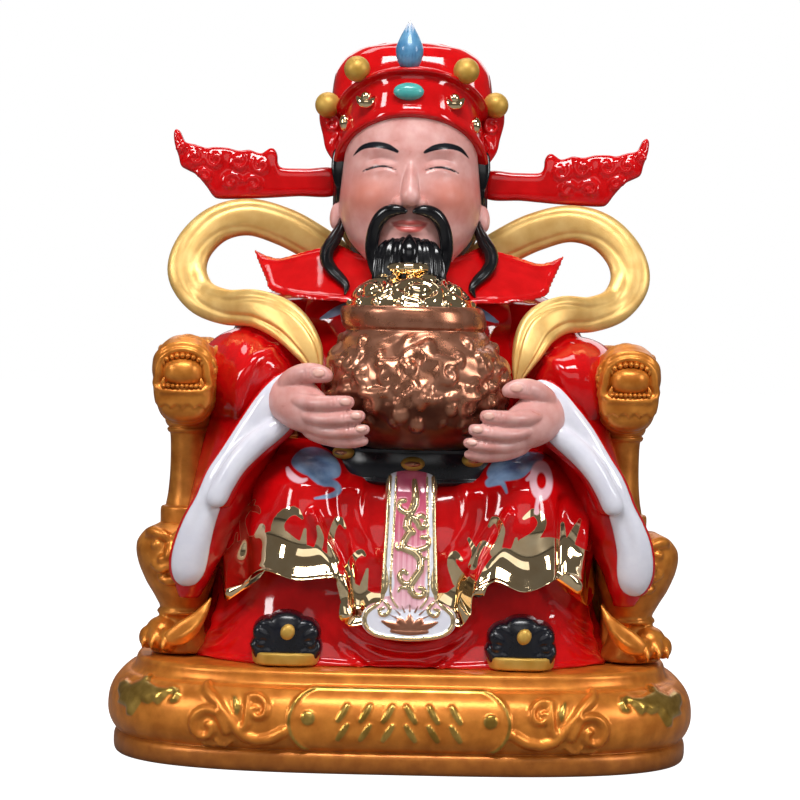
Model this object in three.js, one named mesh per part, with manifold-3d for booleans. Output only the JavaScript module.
// A seated god of wealth in glazed ceramic: a robed official on a dragon-armed throne who holds a bowl of ingots,
// with two hat wings that plug into the hat and a moulded plinth that carries the whole.
// Millimetres, +Z up, +X to the viewer's right, the front faces -Y, origin in the middle of the plinth's underside.
import * as THREE from "three";
import { mergeVertices } from "three/addons/utils/BufferGeometryUtils.js";
import Module from "manifold-3d";

const wasm = await Module();
wasm.setup();

// Driving sizes.
const FIGURE_HEIGHT = 353; // soles to the tip of the bead on the hat
const BASE_GAP = 0.3; // between the plinth's top and the figure's foot
const PLINTH_HEIGHT = 54;
const PLINTH_MARGIN_SIDE = 1; // the top land beyond the throne's feet
const PLINTH_MARGIN_FRONT = 3;
const PLINTH_SWELL = 18; // how far the torus stands out beyond the top land
const PLINTH_SQUARENESS = 3.1; // 2 is an ellipse, more is squarer
const PLAQUE_LENGTH = 113;
const PLAQUE_HEIGHT = 31;
const PLAQUE_RAISE = 1.6;
const WING_LENGTH = 90; // root face to the outer tip
const WING_THICKNESS = 8;
const WING_BAND = 16; // height of the plain band
const WING_FIT = 0.3; // clearance round the peg and at the root face
const PEG_DIAMETER = 7;
const PEG_LENGTH = 12;

// The figure is drawn on a template of this height, so every length of it is a share of its own height.
const TEMPLATE_HEIGHT = 353;
const SHARE = FIGURE_HEIGHT / TEMPLATE_HEIGHT;
const FOOT = PLINTH_HEIGHT + BASE_GAP;
const THRONE_HALF_WIDTH = 146;
const FIGURE_HALF_DEPTH = 92;
const LAND_HALF_WIDTH = THRONE_HALF_WIDTH * SHARE + PLINTH_MARGIN_SIDE;
const LAND_HALF_DEPTH = FIGURE_HALF_DEPTH * SHARE + PLINTH_MARGIN_FRONT;
const WING_SEAT_X = 42.5; // the flat seats of the wings on the hat's sides, on the template
const WING_SEAT_FORWARD = -16;
const WING_SEAT_UP = 267;

// Colours of the finishes.
const RED = 0xc80f14;
const GOLD = 0xc9903f;

// The hand-made figure isn't quite even: what he holds in front of him stands this far to the right, fading out
// towards his back, his shoes and his shoulders. Each pair gives where the shift begins and where it is whole.
const HOLD_SHIFT = 6;
const SHIFT_FORWARD = [15, 55];
const SHIFT_FROM_SOLES = [0, 70];
const SHIFT_TO_SHOULDERS = [215, 165];
const PANEL_SHIFT = 4; // the hanging front panel's own shift

const ramp = (value, low, high) => {
  const t = Math.min(Math.max((value - low) / (high - low), 0), 1);
  return t * t * (3 - 2 * t);
};
const sway = (forward, up) =>
  HOLD_SHIFT * ramp(forward, ...SHIFT_FORWARD) * ramp(up, ...SHIFT_FROM_SOLES) * ramp(up, ...SHIFT_TO_SHOULDERS);

// A point of the template: x to the right, forward from the middle plane, up from the soles.
const at = (x, forward, up) =>
  new THREE.Vector3((x + sway(forward, up)) * SHARE, -forward * SHARE, FOOT + up * SHARE);

// A value between a list's stations, smooth through each one, for t from 0 to 1.
function smooth(values, t) {
  const last = values.length - 1;
  const place = Math.min(Math.max(t, 0), 1) * last;
  const i = Math.min(Math.floor(place), last - 1);
  const s = place - i;
  const [b, c] = [values[i], values[i + 1]];
  const a = values[Math.max(i - 1, 0)];
  const d = values[Math.min(i + 2, last)];
  const slope = (c - a) / 2;
  const next = (d - b) / 2;
  return (
    b * (1 + s * s * (2 * s - 3)) + c * s * s * (3 - 2 * s) + slope * s * (1 - s) * (1 - s) - next * s * s * (1 - s)
  );
}

// The same along stations given as [key, value, value...] rows, looked up by key.
function track(rows, key) {
  const last = rows.length - 1;
  let i = 0;
  while (i < last - 1 && key > rows[i + 1][0]) i += 1;
  const s = Math.min(Math.max((key - rows[i][0]) / (rows[i + 1][0] - rows[i][0]), 0), 1);
  return rows[0].slice(1).map((_, k) => smooth(rows.map((row) => row[k + 1]), (i + s) / last));
}

const power = (value, exponent) => Math.sign(value) * Math.abs(value) ** exponent;
const bump = (distance, width) => Math.exp(-((distance / width) ** 2));
const turn = (i, count) => (2 * Math.PI * i) / count;

// A closed solid from a three.js geometry.
function solid(geometry) {
  geometry.deleteAttribute("normal");
  geometry.deleteAttribute("uv");
  const merged = mergeVertices(geometry, 1e-4);
  const vertProperties = merged.attributes.position.array;
  const triVerts = new Uint32Array(merged.index.array);
  const made = new wasm.Manifold(new wasm.Mesh({ numProp: 3, vertProperties, triVerts }));
  if (made.volume() >= 0) return made;
  for (let i = 0; i < triVerts.length; i += 3) {
    [triVerts[i + 1], triVerts[i + 2]] = [triVerts[i + 2], triVerts[i + 1]];
  }
  return new wasm.Manifold(new wasm.Mesh({ numProp: 3, vertProperties, triVerts }));
}

// A closed skin over rings of points, with each end drawn to its own middle or to the tip given for it.
function skin(rings, tips = []) {
  const sides = rings[0].length;
  const middle = (ring) => ring.reduce((sum, p) => sum.add(p), new THREE.Vector3()).divideScalar(sides);
  const points = [tips[0] ?? middle(rings[0]), ...rings.flat(), tips[1] ?? middle(rings.at(-1))];
  const faces = [];
  const last = points.length - 1;
  for (let j = 0; j < sides; j += 1) {
    const k = (j + 1) % sides;
    faces.push(0, 1 + k, 1 + j);
    for (let i = 0; i < rings.length - 1; i += 1) {
      const low = 1 + i * sides;
      const high = low + sides;
      faces.push(low + j, low + k, high + k, low + j, high + k, high + j);
    }
    faces.push(last, last - sides + j, last - sides + k);
  }
  const geometry = new THREE.BufferGeometry().setFromPoints(points);
  geometry.setIndex(faces);
  return solid(geometry);
}

// A limb: oval sections along a smooth path, closing at both ends. Stops are [x, forward, up, across, thick];
// thick is measured towards the direction given as flat, and blunt says how full the ends are, square how boxy.
function limb(stops, { sides = 8, rings = 8, flat = [0, 1, 0], blunt = 4, square = 2, groove = 0 } = {}) {
  const column = (k, t) => smooth(stops.map((stop) => stop[k]), t);
  const place = (t) => at(column(0, t), column(1, t), column(2, t));
  const facing = new THREE.Vector3(flat[0], -flat[1], flat[2]);
  const made = [];
  for (let i = 1; i < rings; i += 1) {
    const t = 0.5 - 0.5 * Math.cos((Math.PI * i) / rings);
    const along = place(Math.min(t + 0.01, 1)).sub(place(Math.max(t - 0.01, 0))).normalize();
    const out = facing.clone().addScaledVector(along, -facing.dot(along)).normalize();
    const across = new THREE.Vector3().crossVectors(out, along);
    const close = Math.sqrt(1 - Math.abs(2 * t - 1) ** blunt) * SHARE;
    made.push(
      Array.from({ length: sides }, (_, j) => {
        const a = turn(square > 2 ? j + 0.5 : j, sides);
        const dent = 1 - groove * bump(Math.cos(a), 0.35) * (Math.sin(a) > 0 ? 1 : 0);
        return place(t)
          .addScaledVector(across, power(Math.cos(a), 2 / square) * column(3, t) * close)
          .addScaledVector(out, power(Math.sin(a), 2 / square) * column(4, t) * close * dent);
      }),
    );
  }
  return skin(made, [place(0), place(1)]);
}

// A standing mass: level superellipse sections, stations [up, x, forward, half width, half depth], flat ends.
function mass(stations, { sides = 20, rows = 8, square = 2, shape = () => 0 } = {}) {
  const low = stations[0][0];
  const high = stations.at(-1)[0];
  const made = [];
  for (let i = 0; i <= rows; i += 1) {
    const up = low + ((high - low) * i) / rows;
    const [x, forward, width, depth] = track(stations, up);
    made.push(
      Array.from({ length: sides }, (_, j) => {
        const a = turn(j + 0.5, sides);
        const grow = 1 + shape(a, up);
        return at(
          x + width * grow * power(Math.cos(a), 2 / square),
          forward + depth * grow * power(Math.sin(a), 2 / square),
          up,
        );
      }),
    );
  }
  return skin(made);
}

// A turned shape about an upright axis: stops [radius, up], with a ripple of the radius where one is given.
function turned(x, forward, stops, { sides = 20, ripple = () => 0 } = {}) {
  const rings = stops.map(([radius, up]) =>
    Array.from({ length: sides }, (_, j) => {
      const a = turn(j + 0.5, sides);
      const r = radius + ripple(a, up);
      return at(x + r * Math.cos(a), forward + r * Math.sin(a), up);
    }),
  );
  return skin(rings);
}

// An egg: a sphere drawn out to three half sizes.
function egg(x, forward, up, half, columns = 8, rows = 6) {
  const geometry = new THREE.SphereGeometry(1, columns, rows);
  geometry.rotateX(Math.PI / 2);
  geometry.scale(half[0] * SHARE, half[1] * SHARE, half[2] * SHARE);
  const centre = at(x, forward, up);
  geometry.translate(centre.x, centre.y, centre.z);
  return solid(geometry);
}

// A block between two opposite corners.
function block(low, high) {
  const size = high.map((value, k) => (value - low[k]) * SHARE);
  const geometry = new THREE.BoxGeometry(size[0], size[1], size[2]);
  const centre = at((low[0] + high[0]) / 2, (low[1] + high[1]) / 2, (low[2] + high[2]) / 2);
  geometry.translate(centre.x, centre.y, centre.z);
  return solid(geometry);
}

// The union of several solids; what is left of touching faces, under a cubic millimetre, is dropped.
function join(solids) {
  const bodies = solids.reduce((sum, next) => sum.add(next)).decompose().filter((body) => body.volume() > 1);
  return bodies.reduce((sum, next) => sum.add(next));
}
const bothSides = (make) => [make(-1), make(1)].flat();

// The hem of the outer robe: its lower edge against the distance from the middle.
const HEM_EDGE = [
  ...[[0, 17], [14, 18], [25, 21], [31, 29], [36, 47]],
  ...[[60, 46], [82, 51], [95, 40], [107, 53], [125, 60]],
];
// The outer robe over the lap and knees: [up, half width, forward at the middle, swell over each leg].
const ROBE_RISE = [
  [17, 107, 80, 12],
  [45, 106, 79, 13],
  [75, 104, 75, 16],
  [98, 98, 66, 20],
  [113, 86, 52, 19],
  [122, 68, 33, 12],
  [126, 46, 14, 3],
];
const LEG_X = 63;
const LAP_DIP = 21; // how far the lap lies below the knees between them

// One point of the outer robe, a from the right round the front, v from hem to lap.
function robePoint(a, v) {
  const [widest] = track(ROBE_RISE, 60);
  const side = Math.abs(widest * power(Math.cos(a), 0.8));
  const facing = ramp(Math.sin(a), -0.1, 0.35);
  const edge = 50 + (track(HEM_EDGE, side)[0] - 50) * facing;
  const top = ROBE_RISE.at(-1)[0];
  const up = edge + (top - edge) * v;
  const [width, middle, swell] = track(ROBE_RISE, up);
  const x = width * power(Math.cos(a), 0.8);
  const front = Math.max(Math.sin(a), 0);
  const fold = 1.6 * Math.cos(x / 6.4) * bump(up - 45, 26) * front;
  const leg = swell * bump(Math.abs(x) - LEG_X, 27) * Math.sqrt(front);
  const forward = Math.sin(a) > 0 ? middle * power(Math.sin(a), 0.7) + leg + fold : 58 * power(Math.sin(a), 0.7);
  return at(x, forward, up - LAP_DIP * bump(x, 34) * v ** 6);
}

function outerRobe() {
  const columns = 28;
  const rows = 5;
  const ring = (v) => Array.from({ length: columns }, (_, j) => robePoint(turn(j + 0.5, columns), v));
  return skin(Array.from({ length: rows + 1 }, (_, i) => ring(i / rows)));
}

// The under-robe flares to the plinth in soft folds.
function underRobe() {
  const stations = [
    [0, 0, 0, 119, 86],
    [12, 0, 0, 116, 82],
    [30, 0, 0, 108, 76],
    [56, 0, 0, 100, 70],
  ];
  const shape = (a, up) => 0.03 * Math.cos(9 * a) * bump(up, 30) + 0.05 * bump(Math.abs(Math.cos(a)) - 0.55, 0.22);
  return mass(stations, { sides: 24, rows: 2, square: 2.6, shape });
}

// The hanging front panel with its cloud-scroll end and raised borders.
const PANEL_EDGE = [[12.5, 102], [15, 60], [17, 39], [22, 31], [28, 35], [33, 36], [31, 27], [22, 19.5], [9, 16.5]];
const PANEL_BACK = 66;
const PANEL_DEEP = 26;
function frontPanel() {
  const left = PANEL_EDGE.map(([x, up]) => [-x, up]).reverse();
  const shape = new THREE.Shape([...PANEL_EDGE, ...left].map(([x, up]) => new THREE.Vector2(x + PANEL_SHIFT, up)));
  const geometry = new THREE.ExtrudeGeometry(shape, { depth: PANEL_DEEP, bevelEnabled: false });
  geometry.rotateX(Math.PI / 2);
  geometry.scale(SHARE, SHARE, SHARE);
  geometry.translate(0, -PANEL_BACK * SHARE, FOOT);
  return solid(geometry);
}

function shoe(side) {
  const x = side * LEG_X;
  const sole = mass([[0, x, 66, 19, 30], [9, x, 66, 19, 30]], { sides: 10, rows: 1, square: 2.6 });
  const toe = limb([[x, 60, 12, 17, 14], [x, 76, 14, 19, 15], [x, 94, 14, 19, 15]], {
    sides: 8,
    rings: 5,
    flat: [0, 0, 1],
    blunt: 6,
  });
  return [sole, toe.trimByPlane([0, 0, 1], FOOT), egg(x, 93, 19, [4, 4, 4], 6, 4)];
}

// Trunk, neck and belt.
function trunk() {
  const body = [
    [86, 0, 0, 66, 60],
    [104, 0, 4, 62, 62],
    [125, 0, 2, 62, 58],
    [160, 0, -6, 72, 54],
    [188, 0, -8, 74, 50],
    [206, 0, -8, 58, 42],
    [222, 0, -2, 30, 30],
  ];
  const belt = [[98, 0, 4, 62, 66], [119, 0, 4, 60, 65]];
  return [mass(body, { sides: 10, rows: 5, square: 2.2 }), mass(belt, { sides: 12, rows: 1, square: 2.2 })];
}

// A wide hanging sleeve, the forearm in it and the two-lobed cuff.
function sleeve(side) {
  const stations = [
    [33, 120, 50, 6, 7],
    [42, 120, 48, 11, 14],
    [58, 116, 43, 14.5, 20],
    [90, 104, 35, 17.5, 31],
    [120, 92, 24, 22, 41],
    [153, 81, 10, 26.5, 46],
    [184, 72, 2, 26, 38],
    [200, 64, -2, 21, 26],
    [207, 60, -3, 12, 14],
  ].map(([up, x, ...rest]) => [up, side * x, ...rest]);
  const folds = (a, up) => 0.05 * Math.cos(5 * a + up / 26);
  const mirror = ([x, ...rest]) => [side * x, ...rest];
  const forearm = [[96, 4, 160, 26, 24], [92, 34, 154, 25, 23], [82, 62, 148, 20, 17]].map(mirror);
  const cuff = [
    [78, 66, 152, 10, 5],
    [87, 68, 140, 13, 6],
    [100, 67, 113, 11, 6],
    [111, 65, 87, 10.5, 6],
    [119, 62, 62, 11.5, 6],
    [122, 60, 40, 12.5, 6],
  ].map(mirror);
  const lobe = [[80, 72, 138, 8, 5], [92, 75, 118, 7.5, 5], [102, 75, 90, 6, 5]].map(mirror);
  return [
    mass(stations, { sides: 8, rows: 6, shape: folds }),
    limb(forearm, { sides: 7, rings: 3, blunt: 8 }),
    limb(cuff, { sides: 4, rings: 6, blunt: 6 }),
    limb(lobe, { sides: 4, rings: 4, blunt: 6 }),
  ];
}

// A hand with its palm to the bowl: four fingers below the thumb.
function hand(side) {
  const mirror = ([x, ...rest]) => [side * x, ...rest];
  const palm = [[86, 60, 147, 14, 12], [70, 73, 146, 16, 12], [55, 84, 140, 15, 9], [44, 90, 135, 12, 7]];
  const thumb = [[66, 80, 152, 6, 6], [57, 84, 159, 5.5, 5.5], [48, 82, 158, 5, 5]];
  const spacing = 7.6;
  const fingers = [0, 1, 2, 3].map((i) => {
    const up = 149 - i * spacing;
    const reach = [30, 24, 23, 27][i];
    return [[56, 86, up, 5.4, 5.4], [42, 95, up - 2, 5.2, 5.2], [reach, 101, up - 5, 4.4, 4.6]];
  });
  return [
    limb(palm.map(mirror), { sides: 6, rings: 4, blunt: 6 }),
    limb(thumb.map(mirror), { sides: 5, rings: 4 }),
    ...fingers.map((stops) => limb(stops.map(mirror), { sides: 4, rings: 3, blunt: 6 })),
  ];
}

// The treasure bowl with its rim band, relief ripples and a heap of ingots.
const BOWL_FORWARD = 55;
const BOWL_STOPS = [
  [26, 117],
  [40, 126],
  [48, 137],
  [51, 149],
  [50, 161],
  [45, 172],
  [39, 182],
  [42, 184],
  [42, 194],
  [38, 196],
];
const HEAP_STOPS = [[37, 195], [34, 202], [27, 209], [17, 214], [7, 216]];
function bowl() {
  const ripple = (a, up) => 1.5 * Math.cos(7 * a) * Math.cos((up - 148) / 7) * bump(up - 148, 26);
  const places = [[-22, 15, 0.3], [0, 24, 1.5], [22, 15, 2.6], [-12, 0, 0.9], [14, -1, 2.2]];
  const ingots = places.map(([x, ahead, spin]) => {
    const reach = [Math.cos(spin) * 10, Math.sin(spin) * 7];
    const up = 213 - (x * x + ahead * ahead) / 75;
    const middle = BOWL_FORWARD + ahead;
    return limb(
      [
        [x - reach[0], middle - reach[1], up + 3, 5, 3],
        [x, middle, up, 6, 4],
        [x + reach[0], middle + reach[1], up + 3, 5, 3],
      ],
      { sides: 5, rings: 4, flat: [0, 0, 1] },
    );
  });
  return [
    turned(0, BOWL_FORWARD, BOWL_STOPS, { sides: 18, ripple }),
    turned(0, BOWL_FORWARD, HEAP_STOPS, { sides: 12 }),
    ...ingots,
    turned(0, BOWL_FORWARD, [[9, 213], [9, 218], [7, 219]], { sides: 10 }),
  ];
}

// The pointed cloud collar over the shoulders.
function collar(side) {
  const mirror = ([x, ...rest]) => [side * x, ...rest];
  const wing = [[22, 14, 214, 26, 24], [44, 10, 214, 20, 20], [66, 6, 217, 12, 11], [87, 2, 226, 2, 2]];
  const front = [[46, 20, 218, 12, 8], [50, 32, 202, 14, 7], [34, 46, 180, 5, 4]];
  return [
    limb(wing.map(mirror), { sides: 6, rings: 5, blunt: 10 }),
    limb(front.map(mirror), { sides: 5, rings: 4, blunt: 6 }),
  ];
}

// The scarf: each side loops out from behind the collar and back over the shoulder to a point.
function scarf(side) {
  const stops = [
    [34, -22, 221, 11, 5],
    [54, -16, 232, 11, 5],
    [72, -13, 241, 11, 5],
    [92, -10, 246, 11, 5],
    [110, -7, 241, 11, 5],
    [123, -3, 228, 11, 5],
    [126, 1, 213, 11, 5],
    [118, 6, 200, 10.5, 5],
    [103, 12, 194, 9.5, 5],
    [85, 20, 193, 10, 5],
    [70, 32, 185, 10.5, 5],
    [60, 42, 171, 8, 4.5],
    [54, 46, 155, 3, 3],
  ].map(([x, ...rest]) => [side * x, ...rest]);
  return limb(stops, { sides: 6, rings: 20, blunt: 16, groove: 0.25 });
}

// The head, on plain proportions: the face is an egg with a nose, ears, side locks, moustache and beard.
function head() {
  const skull = [
    [216, 0, 33, 12, 13],
    [222, 0, 26, 24, 28],
    [233, 0, 20, 34, 36],
    [248, 0, 16, 39.5, 41],
    [266, 0, 14, 39, 43],
    [288, 0, 13, 37, 42],
    [300, 0, 12, 35, 40],
  ];
  const nose = [[0, 54, 268, 4, 4], [0, 60, 258, 5.5, 5], [0, 60, 251, 7.5, 6]];
  const beard = [[0, 50, 238, 13, 7], [0, 57, 226, 17, 7], [0, 58, 208, 19, 7], [0, 52, 190, 18, 6]];
  return [
    mass(skull, { sides: 12, rows: 6, square: 2.1 }),
    limb(nose, { sides: 6, rings: 5, blunt: 3 }),
    limb(beard, { sides: 6, rings: 5, blunt: 6 }),
    ...bothSides((side) => {
      const mirror = ([x, ...rest]) => [side * x, ...rest];
      const ear = [[38, 4, 277, 5, 7], [41, 4, 262, 6, 9], [41, 6, 247, 6, 6], [41, 8, 236, 5, 5]];
      const moustache = [[0, 57, 247, 3, 3], [12, 55, 246, 4, 4], [19, 52, 236, 3.6, 5], [21, 51, 220, 3, 4]];
      const lock = [
        [36, 26, 264, 3, 4],
        [37, 30, 244, 4, 5],
        [31, 38, 226, 5, 5],
        [37, 42, 208, 4, 5],
        [31, 44, 196, 2, 4],
      ];
      return [
        limb(ear.map(mirror), { sides: 5, rings: 4, blunt: 4 }),
        limb(moustache.map(mirror), { sides: 5, rings: 5 }),
        limb(lock.map(mirror), { sides: 4, rings: 6 }),
      ];
    }),
  ];
}

// The hat's lower front: a band whose brim and rolled top both arch up over the brow. Stops are [share of the
// band's height, how far the wall stands out].
const BAND_STOPS = [[0, 2], [0.05, 5], [0.14, 5], [0.2, 1.5], [0.82, 0], [0.88, 4], [0.97, 4], [1, 0]];
const BRIM_UP = [272, 26]; // at the sides, and how much more over the brow
const ROLL_UP = [306, 22];
function hatFront() {
  const sides = 18;
  const rings = BAND_STOPS.map(([share, out]) =>
    Array.from({ length: sides }, (_, j) => {
      const a = turn(j + 0.5, sides);
      const front = Math.max(Math.sin(a), 0);
      const low = BRIM_UP[0] + BRIM_UP[1] * front;
      const high = ROLL_UP[0] + ROLL_UP[1] * front;
      const lean = 3 * share;
      const deep = front > 0 ? 1 : 0.6;
      return at(
        (42 + out - lean) * Math.cos(a),
        6 + (47 + out - lean) * Math.sin(a) * deep,
        low + (high - low) * share,
      );
    }),
  );
  return skin(rings);
}

// The official's hat: tall rounded back, lower front with a rolled edge, arched brim, side flaps and beads.
function hat() {
  const back = [
    [250, 0, -14, 37, 21],
    [285, 0, -12, 43, 26],
    [318, 0, -10, 45, 25],
    [330, 0, -10, 43, 23],
    [340, 0, -10, 36, 20],
    [346, 0, -10, 22, 12],
  ];
  const beads = [[30, 45, 327], [47, 11, 311]];
  return [
    mass(back, { sides: 12, rows: 6, square: 2.6 }),
    hatFront(),
    limb([[0, 50, 326, 5, 5], [0, 50, 337, 8, 8], [0, 50, 345, 5, 5], [0, 50, TEMPLATE_HEIGHT, 1, 1]], {
      sides: 6,
      rings: 6,
      flat: [1, 0, 0],
    }),
    egg(0, 54, 314, [8, 4, 5], 6, 4),
    ...bothSides((side) => {
      const flap = [[side * 45, 6, 312, 8, 7], [side * 48, 2, 296, 7, 7], [side * 42, 4, 276, 3, 3]];
      return [
        limb(flap, { sides: 5, rings: 5 }),
        ...beads.map(([x, forward, up]) => egg(side * x, forward, up, [7.4, 7.4, 7.4], 6, 4)),
        block([side * 34 - 4, -25, 256], [side * 34 + 4, -7, 278]),
      ];
    }),
  ];
}

// The throne: seat, low rounded back, side panels, dragon-head arms on posts, and lion legs on scroll feet.
const POST_X = 121;
const POST_FORWARD = 26;
const PANEL_INNER_X = 116;
const LEG_SHIFT = 5; // the right leg stands this much further out than the left
function throneFrame() {
  const back = [
    [0, 0, -80, 104, 10],
    [130, 0, -80, 104, 10],
    [160, 0, -80, 100, 9],
    [182, 0, -80, 80, 8],
    [192, 0, -80, 44, 7],
  ];
  return [
    block([-PANEL_INNER_X, -78, 0], [PANEL_INNER_X, -14, 128]),
    block([-PANEL_INNER_X, -20, 0], [PANEL_INNER_X, 14, 96]),
    mass(back, { sides: 12, rows: 5, square: 5 }),
    ...bothSides((side) => [
      block([side * POST_X - 9, -80, 0], [side * POST_X + 9, POST_FORWARD, 138]),
      limb([-84, -30, 40].map((forward) => [side * POST_X, forward, 149, 11, 10]), {
        sides: 6,
        rings: 4,
        flat: [0, 0, 1],
        blunt: 10,
      }),
      egg(side * POST_X, -78, 165, [13, 13, 12], 6, 4),
    ]),
  ];
}

function dragonArm(side) {
  const x = side * POST_X;
  const stops = [
    [18, 66],
    [14.5, 71],
    [14.5, 80],
    [11.5, 82],
    [10.8, 90],
    [10, 122],
    [10, 130],
  ];
  const skull = [[x, 18, 150, 13, 17], [x, 40, 152, 17, 23], [x, 58, 153, 17.5, 25], [x, 75, 152, 16, 23]];
  const mouth = mass([[142, x, 84, 12, 14], [168, x, 84, 9, 14]], { sides: 6, rows: 1, square: 3 });
  const jaws = limb(skull, { sides: 8, rings: 5, flat: [0, 0, 1], blunt: 8, square: 2.8 }).subtract(mouth);
  return [
    turned(x, POST_FORWARD, stops, { sides: 8 }),
    jaws,
    egg(x, 68, 154, [9.5, 9.5, 9.5], 6, 4),
    limb([[x, 30, 172, 7, 5], [x, 46, 177, 6, 5], [x, 60, 176, 4, 3]], { sides: 5, rings: 3, flat: [0, 0, 1] }),
  ];
}

function lionLeg(side) {
  const middle = side > 0 ? POST_X + LEG_SHIFT : POST_X;
  const x = (offset) => side * (middle + offset);
  const leg = [
    [0, x(2), 26, 17, 19],
    [10, x(2), 26, 14, 17],
    [22, x(1), 27, 13, 16],
    [34, x(3), 28, 17, 19],
    [50, x(5), 29, 24, 23],
    [62, x(5), 29, 24.5, 22],
    [72, x(1), 27, 17, 16],
  ];
  const paw = [[x(-20), 42, 12, 9, 8], [x(-4), 46, 9, 10, 8], [x(10), 44, 8, 9, 8], [x(18), 38, 8, 5, 7]];
  return [
    mass(leg, { sides: 8, rows: 5 }),
    limb(paw, { sides: 6, rings: 5, flat: [0, 0, 1] }).trimByPlane([0, 0, 1], FOOT),
    egg(x(6), 50, 54, [9, 6, 6], 6, 4),
    limb([[x(-8), 44, 66, 4, 4], [x(5), 49, 63, 4, 4], [x(18), 42, 67, 4, 4]], { sides: 5, rings: 5 }),
  ];
}

// The socket in the hat's side that takes a wing's peg, and the peg itself, share these values.
const pegPlace = (side, out) =>
  new THREE.Vector3(side * (WING_SEAT_X * SHARE + out), -WING_SEAT_FORWARD * SHARE, FOOT + WING_SEAT_UP * SHARE);
function roundPeg(side, from, to, diameter) {
  const geometry = new THREE.CylinderGeometry(diameter / 2, diameter / 2, to - from, 12);
  geometry.rotateZ(Math.PI / 2);
  const centre = pegPlace(side, (from + to) / 2);
  geometry.translate(centre.x, centre.y, centre.z);
  return solid(geometry);
}

function wingSeat(side) {
  const deep = 12;
  const geometry = new THREE.BoxGeometry(deep, WING_THICKNESS + 4, WING_BAND + 2);
  const centre = pegPlace(side, -deep / 2);
  geometry.translate(centre.x, centre.y, centre.z);
  return solid(geometry);
}

// A wing: a plain band that ends in a curling dragon cloud, rounded on all edges.
function hatWing(side) {
  const half = WING_BAND / 2;
  const head = [
    ...[[0.39, 0], [0.43, 5], [0.45, 10], [0.5, 7.5], [0.58, 10], [0.7, 9], [0.82, 9.5], [0.9, 12], [0.95, 17]],
    ...[[0.97, 21], [1, 22], [0.97, 5], [0.93, -2], [0.86, -9], [0.78, -17]],
    ...[[0.7, -WING_BAND - 2], [0.58, -WING_BAND - 1.5]],
  ].map(([share, over]) => [share, half + over]);
  const bevel = WING_THICKNESS / 3;
  const shape = new THREE.Shape();
  shape.moveTo(0, -half + bevel);
  shape.lineTo(0, half - bevel);
  head.forEach(([share, up]) => shape.lineTo(share * WING_LENGTH, up - Math.sign(up) * bevel * 0.6));
  shape.closePath();
  const geometry = new THREE.ExtrudeGeometry(shape, {
    depth: WING_THICKNESS - 2 * bevel,
    bevelThickness: bevel,
    bevelSize: bevel,
    bevelSegments: 1,
  });
  geometry.translate(0, 0, bevel - WING_THICKNESS / 2);
  geometry.rotateX(Math.PI / 2);
  geometry.scale(side, 1, 1);
  const root = pegPlace(side, WING_FIT + bevel);
  geometry.translate(root.x, root.y, root.z);
  const scales = [0.52, 0.64, 0.76, 0.87].map((share, i) => {
    const lump = new THREE.SphereGeometry(1, 6, 4);
    lump.scale(6, WING_THICKNESS / 2 + 2.2, 5);
    lump.translate(root.x + side * share * WING_LENGTH, root.y, root.z + half + 1 - 3 * (i % 2));
    return solid(lump);
  });
  const cut = roundPeg(side, -PEG_LENGTH, WING_FIT, 4 * WING_BAND);
  const band = join([solid(geometry), ...scales]).subtract(cut);
  return band.add(roundPeg(side, WING_FIT - PEG_LENGTH, WING_FIT + bevel, PEG_DIAMETER));
}

// The plinth: a superellipse plan with a foot band, a groove, a torus and a stepped rim, then the front relief.
const plinthHalf = [LAND_HALF_WIDTH + PLINTH_SWELL, LAND_HALF_DEPTH + PLINTH_SWELL];
// How far the wall stands in from the widest line, against the share of the height.
const PLINTH_PROFILE = [
  ...[[7, 0], [3.6, 0.03], [3.4, 0.19], [6, 0.225]],
  ...[[2, 0.31], [0, 0.45], [0, 0.58], [3, 0.72], [8, 0.81]],
  ...[[14, 0.85], [15.5, 0.95], [PLINTH_SWELL, 1]],
];
function plinthRing(inset, up) {
  const sides = 28;
  const bend = 2 / PLINTH_SQUARENESS;
  return Array.from({ length: sides }, (_, j) => {
    const a = turn(j + 0.5, sides);
    return new THREE.Vector3(
      (plinthHalf[0] - inset) * power(Math.cos(a), bend),
      (plinthHalf[1] - inset) * power(Math.sin(a), bend),
      up,
    );
  });
}
const RELIEF_UP = 0.53 * PLINTH_HEIGHT; // the middle line of the torus
const SCROLL_GAP = 4; // between the plaque and the scrolls beside it
const BAT_FROM_END = 24; // the bats' middles in from the plinth's widest line
const STROKE_PITCH = 12; // between the slanted strokes on the plaque
const STROKE_ROWS = [5, -5]; // their middles up from the plaque's middle line
const STROKE_LEAN = 2;

// How far forward the torus lies at a place on the front.
function torusFront(x, up) {
  const rows = PLINTH_PROFILE.map(([inset, share]) => [share * PLINTH_HEIGHT, inset]);
  const [inset] = track(rows, up);
  const bend = Math.abs(x / (plinthHalf[0] - inset)) ** PLINTH_SQUARENESS;
  return (plinthHalf[1] - inset) * Math.max(1 - bend, 0) ** (1 / PLINTH_SQUARENESS);
}

// A round strip laid along a line on the torus, given by points [x, up from the middle line].
function strip(points, thick, rings) {
  const stops = points.map(([x, up]) => {
    const forward = torusFront(x, RELIEF_UP + up);
    return [x / SHARE, forward / SHARE, (RELIEF_UP + up - FOOT) / SHARE, thick / SHARE, thick / SHARE];
  });
  return limb(stops, { sides: 4, rings, blunt: 8 });
}

// A coil of points about a middle, winding out from a small eye to its full radius.
const COIL_POINTS = 8;
function coil(x, up, radius, from, sweep) {
  return Array.from({ length: COIL_POINTS }, (_, i) => {
    const share = i / (COIL_POINTS - 1);
    const a = from + sweep * share;
    const r = radius * (0.22 + 0.78 * share);
    return [x + r * Math.cos(a), up + r * Math.sin(a)];
  });
}

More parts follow.
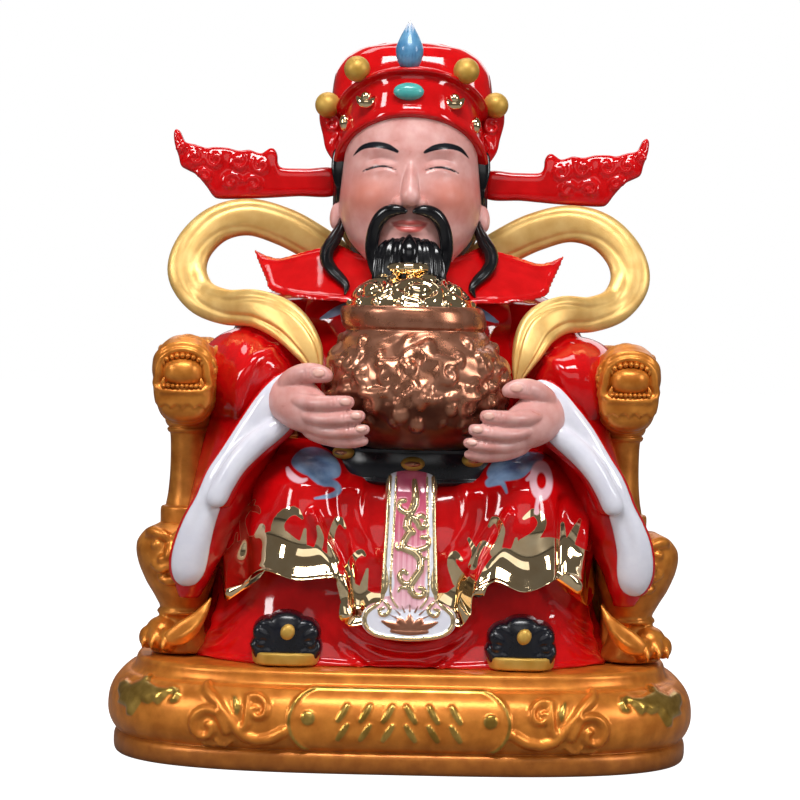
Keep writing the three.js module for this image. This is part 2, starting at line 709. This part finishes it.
// A scroll beside the plaque: a large outer coil whose stem bows down and in, and a small inner one.
function scroll(side, near) {
  const outer = [...coil(42, 0, 11.5, -1.2, 7.4), [31, 7], [24, -3], [13, -11], [0, -8]];
  const inner = [...coil(15, 5, 7, 2.6, -6), [4, -6]];
  const leaf = [[30, 4], [36, 13], [42, 15]];
  const laid = (points) => points.map(([x, up]) => [side * (near + x), up]);
  return [strip(laid(outer), 2, 11), strip(laid(inner), 1.8, 7), strip(laid(leaf), 1.8, 3)];
}

// A bat at the corner: two spread wings and a body.
function bat(side, middle) {
  const spread = [[-14, 5], [-6, -1], [0, 2], [5, -1], [14, 8]];
  return [
    strip(spread.map(([x, up]) => [middle + side * x, up]), 2.6, 5),
    strip([[middle, 4], [middle, -8]], 3, 2),
  ];
}

function plaque() {
  const round = PLAQUE_HEIGHT / 2;
  const straight = PLAQUE_LENGTH / 2 - round;
  const border = [-1, 1].flatMap((side) =>
    Array.from({ length: 6 }, (_, i) => {
      const a = side * (Math.PI / 2) * (1 - (2 * i) / 5);
      return [side * (straight + round * Math.cos(a)), round * Math.sin(a)];
    }),
  );
  const edge = [...border, border[0], border[1]];
  const strokes = STROKE_ROWS.flatMap((up, row) =>
    [-2.5, -1.5, -0.5, 0.5, 1.5, 2.5].map((step) => {
      const lean = row ? STROKE_LEAN : -STROKE_LEAN;
      return strip([[step * STROKE_PITCH - lean, up - 3], [step * STROKE_PITCH + lean, up + 3]], 1.2, 2);
    }),
  );
  return [strip(edge, PLAQUE_RAISE, 12), ...strokes];
}

function plinth() {
  const rings = PLINTH_PROFILE.map(([inset, share]) => plinthRing(inset, share * PLINTH_HEIGHT));
  const beside = (side) => [
    ...scroll(side, PLAQUE_LENGTH / 2 + SCROLL_GAP),
    ...bat(side, side * (plinthHalf[0] - BAT_FROM_END)),
  ];
  const relief = [...plaque(), ...bothSides(beside)];
  return join([skin(rings), ...relief]);
}

function figure() {
  const parts = [
    ...throneFrame(),
    ...bothSides(dragonArm),
    ...bothSides(lionLeg),
    underRobe(),
    outerRobe(),
    frontPanel(),
    ...bothSides(shoe),
    ...trunk(),
    ...bothSides(sleeve),
    ...bothSides(hand),
    ...bowl(),
    ...bothSides(collar),
    ...bothSides(scarf),
    ...head(),
    ...hat(),
    ...bothSides(wingSeat),
  ];
  return bothSides((side) => roundPeg(side, -PEG_LENGTH - WING_FIT, 1, PEG_DIAMETER + 2 * WING_FIT)).reduce(
    (whole, socket) => whole.subtract(socket),
    join(parts),
  );
}

// A named mesh of a solid, with its finish.
function named(name, shape, color, roughness, metalness) {
  const mesh = shape.getMesh();
  const geometry = new THREE.BufferGeometry();
  geometry.setAttribute("position", new THREE.BufferAttribute(new Float32Array(mesh.vertProperties), 3));
  geometry.setIndex(new THREE.BufferAttribute(new Uint32Array(mesh.triVerts), 1));
  const made = new THREE.Mesh(geometry, new THREE.MeshStandardMaterial({ color, roughness, metalness }));
  made.name = name;
  return made;
}

const caishen = new THREE.Group();
caishen.add(
  named("plinth", plinth(), GOLD, 0.4, 0.7),
  named("figure", figure(), RED, 0.12, 0),
  named("left_hat_wing", hatWing(-1), RED, 0.12, 0),
  named("right_hat_wing", hatWing(1), RED, 0.12, 0),
);

export default caishen;
